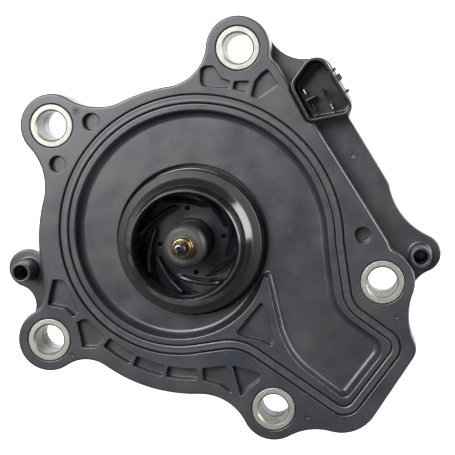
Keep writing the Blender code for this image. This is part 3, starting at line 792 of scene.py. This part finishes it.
def holes(skin, centres, radius, top, bottom, edge=0.25):
    """Round through holes with a rounded upper rim; returns their upper and lower loops."""
    levels = edge_round(edge, top, 3)[::-1] + [(0, bottom)]
    pairs = [skin.wall(circle(centre, radius), levels) for centre in centres]
    return [high for high, _ in pairs], [low for _, low in pairs]


def groove(skin):
    """Groove for the gasket; returns its rims towards the face and towards the ridge."""
    line = groove_line()
    foot = fillet_levels(GROOVE_FLOOR, 0.2, 0.2, steps=2)
    mouth, deep = skin.wall(offset_outline(line, GROOVE_HALF), edge_round(0.3, 0, 3)[::-1] + foot)
    inner = flipped(foot[::-1]) + flipped(edge_round(0.4, RIDGE_TOP))
    shallow, ridge = skin.wall(offset_outline(line, -GROOVE_HALF), inner)
    skin.cap(deep, shallow)
    return mouth, ridge


def volute(skin, ridge):
    """Open volute inside the ridge, with the impeller's opening; returns the rear rim of that."""
    levels = edge_round(0.55, RIDGE_TOP, 5)[::-1]
    levels += fillet_levels(VOLUTE_FLOOR, FLOOR_FILLET - 0.25, FLOOR_FILLET, 0.25, 8)
    crest, floor = skin.wall(volute_outline(), levels, volute_share)
    skin.cap(ridge, crest, skin.well(tongue_pocket(), RIDGE_TOP, POCKET_FLOOR))
    steps = [(radius - CAVITY, height) for radius, height in (
        (CAVITY, CAN_SEAT), (28, CAN_SEAT), (28, CAN_SEAL_SEAT), (30.6, CAN_SEAL_SEAT), (30.6, CAN_SEAT),
        (CAN_FLANGE + 0.4, CAN_SEAT), (CAN_FLANGE + 0.4, FLANGE_BACK))]
    cavity, seat = skin.wall(circle((0, 0), CAVITY), edge_round(0.45, VOLUTE_FLOOR)[::-1] + steps)
    skin.cap(floor, cavity)
    return seat


def front_housing(material):
    """Moulded flange with its pockets, the gasket groove and the open volute."""
    skin = Skin()
    outline = bite(flange_outline(), offset_outline(connector_outline(), 0.35))
    edge = flipped(edge_round(0.7, 0, 5))
    back, rim = skin.wall(outline, [(-0.3, FLANGE_BACK), (0, FLANGE_BACK + 0.3)] + edge)
    face_holes, back_holes = holes(skin, BOLTS, SLEEVE_HOLE, 0, FLANGE_BACK)
    face_holes += [skin.well(pocket, 0, POCKET_FLOOR) for pocket in flange_pockets()]
    face_holes += [ejector_mark(skin, centre, EJECTOR_MARK_RADIUS, 0) for centre in EJECTOR_MARKS]
    for screw in HOUSING_SCREWS:
        mouth, end = skin.wall(circle(screw, SCREW_HOLE), [(0, FLANGE_BACK), (0, SCREW_HOLE_END)])
        skin.cap(end)
        back_holes.append(mouth)
    mouth, ridge = groove(skin)
    skin.cap(rim, *face_holes, mouth)
    skin.cap(back, *back_holes, volute(skin, ridge))
    skin.piece("front_shell", BASE, "black_plastic", material, "front_housing")


def volute_share(point):
    """How much of the wall's fillet there is room for beside the impeller's opening."""
    room = math.hypot(*point) - CAVITY - 0.75
    return max(0.12, min(1.0, room / FLOOR_FILLET))


def bolt_sleeves(material):
    """Zinc-plated compression sleeves with a chamfered bore."""
    for number, bolt in enumerate(BOLTS, 1):
        skin = Skin()
        profile = rounded_polygon([
            (SLEEVE_BORE, FLANGE_BACK, 0.1), (SLEEVE_RADIUS, FLANGE_BACK, 0.25), (SLEEVE_RADIUS, 0, 0.3),
            (SLEEVE_BORE + 0.55, 0, 0.12), (SLEEVE_BORE, -0.6, 0.2)])
        skin.lathe(profile, 72, bolt)
        skin.piece(f"sleeve_{number}", BASE, "zinc", material, f"bolt_sleeve_{number}", sharp=60)


def mounting_gasket(material):
    """Rubber profile gasket: a rounded bead with a raised lip along its middle."""
    skin = Skin()
    line = groove_line()
    top = -0.42
    half = GASKET_HALF
    section = [(-1.0, GROOVE_FLOOR + 0.3), (-half, GROOVE_FLOOR + 0.5), (-half, top - 0.5),
               (-half + 0.12, top - 0.16), (-half + 0.4, top), (-half + 0.6, top), (0, top - 0.06),
               (half - 0.6, top), (half - 0.4, top), (half - 0.12, top - 0.16), (half, top - 0.5),
               (half, GROOVE_FLOOR + 0.5), (1.0, GROOVE_FLOOR + 0.3)]
    loops = [skin.loop(offset_outline(line, offset), height) for offset, height in section]
    for this, after in zip(loops, loops[1:] + loops[:1]):
        skin.strip(this, after)
    skin.piece("gasket", BASE, "rubber", material, "mounting_gasket")


def middle_plate(material):
    """Plate behind the flange, with its side strip and two lugs with bosses."""
    skin = Skin()
    edge = flipped(edge_round(0.6, PLATE_TOP))
    back, rim = skin.wall(plate_outline(), [(-0.5, PLATE_BACK), (0, PLATE_BACK + 0.5)] + edge)
    tops = [rim]
    backs = [back]
    for centres, radius, rounding in (
            (BOLTS, SLEEVE_RADIUS, 0.25), (HOUSING_SCREWS, SCREW_HOLE, 0.1), ([(0, 0)], PLATE_BORE, 0.25)):
        high, low = holes(skin, centres, radius, PLATE_TOP, PLATE_BACK, rounding)
        tops += high
        backs += low
    tops.append(ejector_mark(skin, STRIP_MARK, STRIP_MARK_RADIUS, PLATE_TOP))
    for boss, height in ((LEFT_BOSS, 1.0), (RIGHT_BOSS, 0.0)):
        foot = flipped(fillet_levels(PLATE_TOP, 0.8, 0.8)[::-1]) + flipped(edge_round(0.35, height))
        low, high = skin.wall(circle(boss, BOSS_RADIUS), foot)
        tops.append(low)
        skin.cap(high, skin.well(circle(boss, BOSS_HOLE), height, BOSS_FLOOR, 0.3, 0.5, 0.2))
    skin.cap(*tops)
    skin.cap(*backs)
    skin.piece("middle_plate", BASE, "black_plastic", material, "connector_housing")


def connector(material):
    """Shroud of the four-way connector, with its key, guide ribs and latch block."""
    skin = Skin()
    floor = PLATE_TOP + 0.15
    outline = connector_outline()
    levels = [(-0.4, PLATE_BACK + 1), (0, PLATE_BACK + 1.4)]
    low, high = skin.wall(outline, levels + flipped(edge_round(0.4, CONNECTOR_RIM)))
    skin.cap(low)
    inner = offset_outline(outline, -1.1)
    skin.cap(high, skin.well(inner, CONNECTOR_RIM, floor, 0.35, 0.5, 0.1))
    key = [(36.3, 44.0, 0.25), (39.6, 45.7, 0.25), (39.3, 46.3, 0.25), (36.0, 44.6, 0.25)]
    skin.post(rounded_polygon(key), floor - 1, -3.0, 0.15)
    for x, y in RIBS:
        rib = [(x - 1.6, y - 1.6, 0.3), (x - 1.1, y - 2.3, 0.3), (x + 1.0, y - 0.6, 0.3),
               (x + 0.5, y + 0.3, 0.3)]
        skin.post(rounded_polygon(rib), PLATE_BACK + 1.5, CONNECTOR_RIM - 0.5, 0.2)
    latch = [(46.3, 50.3, 0.3), (47.8, 51.4, 0.3), (46.7, 53.2, 0.3), (45.2, 52.1, 0.3)]
    skin.post(rounded_polygon(latch), -6, CONNECTOR_RIM - 1.2, 0.2)
    skin.piece("connector_shroud", BASE, "black_plastic", material, "connector_housing")


def terminals(gold, silver):
    """Flat contact blades with a tapered tip."""
    levels = [(0, PLATE_BACK + 0.2), (0, -3.0), (-0.14, -2.0), (-0.28, TERMINAL_TIP)]
    for number, middle in enumerate(TERMINALS, 1):
        corners = []
        for along, across in ((-1.1, -0.4), (1.1, -0.4), (1.1, 0.4), (-1.1, 0.4)):
            side = polar(middle, along, TERMINAL_TURN - 90)
            corners.append(polar(side, across, TERMINAL_TURN) + (0.32,))
        skin = Skin()
        skin.solid(rounded_polygon(corners), levels)
        slot, material = ("brass", gold) if number in GOLDEN_TERMINALS else ("steel", silver)
        skin.piece(f"contact_{number}", BASE, slot, material, f"terminal_{number}")


def cover_ears():
    """Middles of the screw ears, round the drum."""
    turns = [30 + 360 / COVER_SCREWS * number for number in range(COVER_SCREWS)]
    return [polar((0, 0), COVER_SCREW_CIRCLE, turn) for turn in turns]


def motor_case(material):
    """Cast aluminium case: flange, drum and six screw ears that grow out of the drum."""
    skin = Skin()
    outline = offset_outline(flange_outline(), -0.8)
    edge = flipped(edge_round(0.5, CASE_TOP))
    back, rim = skin.wall(outline, [(-0.5, CASE_FLANGE_BACK), (0, CASE_FLANGE_BACK + 0.5)] + edge)
    collar = SLEEVE_RADIUS - 0.3 - SLEEVE_BORE
    sleeve_seat = [(0.4, CASE_FLANGE_BACK), (0, CASE_FLANGE_BACK + 0.4), (0, FLANGE_BACK - 0.9),
                   (0.5, FLANGE_BACK - 0.3), (collar, FLANGE_BACK - 0.3), (collar, CASE_TOP)]
    seats = [skin.wall(circle(bolt, SLEEVE_BORE), sleeve_seat) for bolt in BOLTS]
    screw_tops, screw_backs = holes(skin, HOUSING_SCREWS, SCREW_HOLE, CASE_TOP, CASE_FLANGE_BACK, 0.1)
    bore = DRUM_BORE - DRUM_RADIUS
    side = [(-offset, 2 * CASE_FLANGE_BACK - level)
            for offset, level in fillet_levels(CASE_FLANGE_BACK, 1.2, 1.2)[::-1]]
    side += [(0.35, -30), (0, CASE_BACK + 0.5), (-0.5, CASE_BACK), (bore, CASE_BACK), (bore, CASE_TOP)]
    root, mouth = skin.wall(circle((0, 0), DRUM_RADIUS), side)
    skin.cap(rim, *[high for _, high in seats], *screw_tops, mouth)
    skin.cap(back, *[low for low, _ in seats], *screw_backs, root)
    for ear in cover_ears():
        ear_body(skin, ear, CASE_BACK + 0.5, CASE_EAR_TOP, 2.5)
    skin.piece("case", BASE, "cast_aluminium", material, "motor_case")


def ear_body(skin, ear, bottom, top, slope):
    """Screw ear whose far end slopes back into the drum."""
    turn = heading((0, 0), ear)
    half = EAR_RADIUS - 0.05
    root = polar((0, 0), DRUM_BORE + 0.3, turn)
    outline = arc(ear, half, turn - 90, turn + 90)
    outline += [polar(root, half, turn + 90), polar(root, half, turn - 90)]
    low = skin.loop(offset_outline(outline, -0.35), bottom)
    second = skin.loop(outline, bottom + 0.35)
    third = skin.loop(outline, top - slope)
    inward = [polar(point, -2.6, turn) for point in outline]
    last = skin.loop(offset_outline(inward, -0.4), top)
    for lower, upper in ((low, second), (second, third), (third, last)):
        skin.strip(lower, upper)
    skin.cap(low)
    skin.cap(last)


def rear_cover(material):
    """Heat-sink cover: a disc with straight fins round a flat middle pad, and six ears."""
    skin = Skin()
    skin.post(circle((0, 0), DRUM_RADIUS), FIN_ROOT, COVER_FRONT, 0.5, 0.8)
    skin.post(circle((0, 0), PAD_RADIUS), -LIFT, FIN_ROOT + 0.6, 0.1, 0.6)
    reach = DRUM_RADIUS - 0.6
    count = int(reach / FIN_PITCH)
    for column in range(-count, count + 1):
        x = FIN_PITCH * column
        outer = math.sqrt(reach ** 2 - (abs(x) + FIN_HALF) ** 2)
        inner = math.sqrt(max(0, (PAD_RADIUS - 0.5) ** 2 - x ** 2))
        spans = [(inner, outer), (-outer, -inner)] if inner else [(-outer, outer)]
        for near, far in spans:
            fin = rounded_polygon([(x - FIN_HALF, near, 0.6), (x + FIN_HALF, near, 0.6),
                                   (x + FIN_HALF, far, 0.9), (x - FIN_HALF, far, 0.9)])
            skin.solid(fin, [(-0.55, -LIFT), (-0.25, -LIFT + 0.15), (-0.1, -LIFT + 0.5),
                             (0.15, FIN_ROOT - 0.4), (0.5, FIN_ROOT + 0.2)])
    for ear in cover_ears():
        ear_body(skin, ear, COVER_EAR_BACK, COVER_FRONT - 0.5, 0.5)
    skin.piece("heat_sink", BASE, "cast_aluminium", material, "rear_cover")


def hexagon(centre, radius, turn):
    """Hexagon with worn corners."""
    return rounded_polygon([polar(centre, radius, turn + 60 * number) + (0.45,) for number in range(6)])


def screw_heads(material):
    """Flange-head hexagon screws, with their heads to the rear."""
    screws = [(f"cover_screw_{number}", centre, COVER_EAR_BACK - 0.3, -40)
              for number, centre in enumerate(cover_ears(), 1)]
    screws += [(f"housing_screw_{number}", centre, CASE_FLANGE_BACK - 0.3, SCREW_TIP)
               for number, centre in enumerate(HOUSING_SCREWS, 1)]
    for number, (node, centre, seat, tip) in enumerate(screws):
        skin = Skin()
        skin.lathe([(0, seat - 1.0), (2.6, seat - 1.0), (3.2, seat - 0.55), (3.3, seat - 0.35), (3.2, seat),
                    (SCREW_BODY, seat), (SCREW_BODY, tip - 0.6), (1.4, tip), (0, tip)], 40, centre)
        head = hexagon(centre, SCREW_HEAD_RADIUS, 23.0 * number)
        levels = [(-0.4, seat - 2.75), (-0.12, seat - 2.6), (0, seat - 2.3), (0, seat - 0.7)]
        skin.solid(head, levels)
        skin.piece(f"screw_{number + 1}", BASE, "zinc", material, node)


def cover_seal(material):
    """Flat seal ring between the drum and the rear cover."""
    skin = Skin()
    front = CASE_BACK - 0.3
    rear = COVER_FRONT + 0.3
    outer = DRUM_RADIUS - 0.6
    skin.lathe(rounded_polygon([(DRUM_BORE, rear, 0.3), (outer, rear, 0.4), (outer, front, 0.4),
                                (DRUM_BORE, front, 0.3)]))
    skin.piece("seal_ring", BASE, "rubber", material, "cover_seal")


# ---------------------------------------------------------------- impeller

def impeller_shroud(material):
    """Glossy flared shroud round the eye, in one smooth turned form."""
    skin = Skin()
    skin.lathe(rounded_polygon([
        SHROUD_EDGE + (0.2,), (22.9, 3.6, 0.6), (20.4, 4.7, 1.2), (18.0, 7.0, 1.6), (17.7, 10.0, 6.0),
        (17.4, 14.1, 0.4), (16.9, 14.8, 0.1), (16.6, 14.8, 0.1), (16.0, 13.7, 0.5), (16.0, 9.0, 5.0),
        (16.2, 6.4, 3.0), (16.9, 4.4, 1.2), (18.5, 2.9, 1.5)]), 160)
    skin.piece("eye_shroud", SPINNER, "gloss_plastic", material, "impeller_shroud", sharp=50)


def shroud_height(radius):
    """Height of the inner face of the shroud over the blade channels."""
    points = sorted(EYE_CORNERS + [SHROUD_EDGE])
    for (near, high), (far, low) in zip(points, points[1:]):
        if near <= radius <= far:
            return high + (low - high) * (radius - near) / (far - near)
    return points[0][1] if radius < points[0][0] else points[-1][1]


def blade(skin, number):
    """One backward-curved blade with rounded edges, which leaves the eye along its edge."""
    stations = 32
    growth = BLADE_OUTER - BLADE_INNER
    rings = []
    for station in range(stations + 1):
        share = station / stations
        radius = BLADE_INNER + growth * share ** 2
        angle = BLADE_START + 360 / BLADES * number + BLADE_WRAP * share
        slope = math.degrees(math.atan2(radius * math.radians(BLADE_WRAP), 2 * growth * share))
        lead = min(1.0, (radius - BLADE_INNER) / 3.4)
        top = min(shroud_height(radius + BLADE_HALF) - 0.5, 1.0 + 4.5 * lead ** 0.8)
        from_end = min(station, stations - station)
        half = BLADE_HALF * min(1.0, 0.45 + 0.3 * from_end)
        ring = []
        for side, down in ((-1.6, -1), (-1.05, -2), (-1, 0.55), (-0.8, 0.2), (0, 0), (0.8, 0.2), (1, 0.55),
                           (1.05, -2), (1.6, -1)):
            height = top - down if down >= 0 else BACKPLATE_TOP + (0.4 if down == -2 else -0.4)
            x, y = polar(polar((0, 0), radius, angle), half * side, angle + slope - 90)
            ring.append(skin.mesh.verts.new(place(x, y, height)))
        rings.append(ring)
    skin.mesh.faces.new(rings[0])
    skin.mesh.faces.new(rings[-1])
    for this, after in zip(rings, rings[1:]):
        skin.strip(this, after)


def impeller_base(material):
    """Back plate of the impeller with its eight blades and four balance holes."""
    skin = Skin()
    levels = [(radius - BACKPLATE_RADIUS, height) for radius, height in (
        (BACKPLATE_RADIUS - 0.4, BACKPLATE_TOP), (BACKPLATE_RADIUS - 0.1, BACKPLATE_TOP - 0.1),
        (BACKPLATE_RADIUS, BACKPLATE_TOP - 0.4), (BACKPLATE_RADIUS, -4.8), (11.6, -5.2), (11.0, -7.6),
        (POST_RADIUS + 0.3, -7.6), (POST_RADIUS + 0.3, BACKPLATE_TOP))]
    rim, inner = skin.wall(circle((0, 0), BACKPLATE_RADIUS), levels)
    centres = [polar((0, 0), BALANCE_CIRCLE, BALANCE_START + 90 * number) for number in range(4)]
    wells = [skin.well(circle(centre, BALANCE_HOLE), BACKPLATE_TOP, -7.4, 0.12, 0.2, 0.0)
             for centre in centres]
    skin.cap(rim, inner, *wells)
    for number in range(BLADES):
        blade(skin, number)
    skin.piece("blade_wheel", SPINNER, "black_plastic", material, "impeller_base")


def rotor_sleeve(material):
    """Sleeve that carries the impeller, with a rounded nose."""
    skin = Skin()
    skin.lathe(rounded_polygon([
        (4.6, -35.8, 0.2), (POST_RADIUS, -35.8, 0.3), (POST_RADIUS, 14.6, 0.8), (6.2, 15.8, 0.8),
        (5.2, 16.4, 0.3), (SHAFT_RADIUS + 0.4, 16.4, 0.2), (SHAFT_RADIUS + 0.4, 14.5, 0.1),
        (4.6, 14.5, 0.1)]))
    skin.piece("sleeve_nose", SPINNER, "carbon", material, "rotor_sleeve", sharp=50)


def shaft_end(steel, brass, carbon):
    """Fixed shaft with a centre drilling, and the washer and nut that keep the rotor on."""
    skin = Skin()
    skin.lathe([(0, -39.0), (SHAFT_RADIUS - 0.3, -39.0), (SHAFT_RADIUS, -38.7), (SHAFT_RADIUS, 25.9),
                (SHAFT_RADIUS - 0.2, 26.3), (SHAFT_RADIUS - 0.6, 26.5), (0.95, 26.5), (0.75, 26.3),
                (0.3, 25.5), (0, 25.3)], 64)
    skin.piece("shaft_pin", BASE, "steel", steel, "shaft")
    skin = Skin()
    skin.lathe(rounded_polygon([(SHAFT_RADIUS + 0.3, 16.7, 0.1), (3.6, 16.7, 0.2), (3.6, 17.7, 0.3),
                                (SHAFT_RADIUS + 0.3, 17.7, 0.1)]), 64)
    skin.piece("washer", BASE, "carbon", carbon, "thrust_washer", sharp=50)
    skin = Skin()
    skin.lathe(rounded_polygon([
        (SHAFT_RADIUS + 0.1, 18.0, 0.1), (3.2, 18.0, 0.25), (3.2, 19.2, 0.1), (3.0, 19.4, 0.1),
        (3.0, 19.8, 0.1), (3.2, 20.0, 0.1), (3.2, 21.2, 0.3), (2.8, 22.0, 0.25),
        (SHAFT_RADIUS + 0.1, 22.0, 0.1)]), 64)
    skin.piece("brass_nut", BASE, "brass", brass, "shaft_nut", sharp=50)


# ---------------------------------------------------------------- studio

def area_light(name, spot, target, width, height, power):
    """White soft box of a size in metres, turned towards a target."""
    lamp = bpy.data.lights.new(name, "AREA")
    lamp.shape = "RECTANGLE"
    lamp.size = width
    lamp.size_y = height
    lamp.energy = power
    thing = bpy.data.objects.new(name, lamp)
    thing.location = spot
    thing.rotation_mode = "QUATERNION"
    thing.rotation_quaternion = (Vector(target) - Vector(spot)).to_track_quat("-Z", "Y")
    thing.visible_camera = False
    bpy.context.scene.collection.objects.link(thing)


def studio():
    """Pale seamless floor, a soft overhead box, a side box and an even surround."""
    scene = bpy.context.scene
    scene.view_settings.view_transform = "Standard"
    world = bpy.data.worlds.new("surround")
    world.use_nodes = True
    surround = world.node_tree.nodes["Background"].inputs
    surround["Color"].default_value = (1, 1, 1, 1)
    surround["Strength"].default_value = 0.25
    scene.world = world
    paint = Paint("floor_paper", (0.93, 0.93, 0.93), 0.8)
    paint.colours(paint.noise(300, 2), (0.92, 0.92, 0.92), (0.95, 0.95, 0.95))
    paint.grain(0.02, 0.3, 0.8, 3)
    paint.shader.inputs["Emission Color"].default_value = (1, 1, 1, 1)
    paint.shader.inputs["Emission Strength"].default_value = 0.6
    mesh = bmesh.new()
    bmesh.ops.create_circle(mesh, cap_ends=True, segments=64, radius=2.5)
    data = bpy.data.meshes.new("floor")
    mesh.to_mesh(data)
    mesh.free()
    data.materials.append(paint.material)
    floor = bpy.data.objects.new("floor", data)
    floor.location.z = -0.0005
    scene.collection.objects.link(floor)
    area_light("key_box", (-0.30, 0.31, 0.78), (0, 0, 0.05), 0.50, 0.50, 15.0)
    area_light("side_box", (0.357, 0.130, 0.12), (0, 0, 0.07), 0.276, 0.20, 2.2)


def camera():
    """Camera over the impeller side, a little up and to the right of the shaft."""
    data = bpy.data.cameras.new("camera")
    data.sensor_width = 36.0
    data.lens = LENS
    data.clip_start = 0.01
    thing = bpy.data.objects.new("camera", data)
    back = Vector(CAMERA_BACK).normalized()
    up = back.cross(Vector(CAMERA_RIGHT)).normalized()
    side = up.cross(back)
    turn = Matrix((side, up, back)).transposed().to_4x4()
    thing.matrix_world = Matrix.Translation(CAMERA_PLACE) @ turn
    bpy.context.scene.collection.objects.link(thing)
    bpy.context.scene.camera = thing


def hidden_parts(frame, paints):
    """Give the enclosed parts, which keep their CAD meshes, their own materials."""
    starts = {
        "stator_coil": "copper", "stator_core": "laminations", "rotor_core": "laminations",
        "rotor_magnet": "magnet", "power_transistor": "magnet", "capacitor": "aluminium",
        "controller_board": "board", "front_bush": "carbon", "rear_bush": "carbon",
        "can_seal": "rubber", "rotor_can": "plastic", "front_insulator": "plastic",
        "rear_insulator": "plastic"}
    for name, thing in frame["nodes"].items():
        for start, paint in starts.items():
            if name.startswith(start):
                thing.data.materials.clear()
                thing.data.materials.append(paints[paint])


def main():
    """Build the looks round the CAD model."""
    for thing in list(bpy.data.objects):
        bpy.data.objects.remove(thing, do_unlink=True)
    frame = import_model()
    plastic = moulded_plastic("black_plastic", (0.012, 0.0145, 0.021), (0.028, 0.028, 0.030), 0.31)
    socket = moulded_plastic("socket_plastic", (0.004, 0.0045, 0.0055), (0.007, 0.007, 0.008), 0.26)
    zinc = zinc_steel()
    aluminium = cast_aluminium()
    carbon = carbon_bearing()
    steel = turned_metal("ground_steel", (0.045, 0.045, 0.045), (0.09, 0.09, 0.09), 0.26)
    brass = turned_metal("machined_brass", (0.17, 0.12, 0.055), (0.28, 0.20, 0.10), 0.18)
    silver = turned_metal("tinned_copper", (0.55, 0.54, 0.52), (0.78, 0.77, 0.74), 0.25)
    bloom = rubber()
    paints = {"copper": enamelled_copper(), "laminations": laminated_steel(), "magnet": magnet_ferrite(),
              "aluminium": aluminium, "board": circuit_board(), "carbon": carbon, "rubber": bloom,
              "plastic": plastic}
    hidden_parts(frame, paints)
    front_housing(plastic)
    bolt_sleeves(zinc)
    mounting_gasket(bloom)
    middle_plate(plastic)
    connector(socket)
    terminals(brass, silver)
    motor_case(aluminium)
    rear_cover(aluminium)
    screw_heads(zinc)
    cover_seal(bloom)
    impeller_shroud(glossy_plastic())
    impeller_base(blade_plastic())
    rotor_sleeve(carbon)
    shaft_end(steel, brass, carbon)
    studio()
    camera()


main()
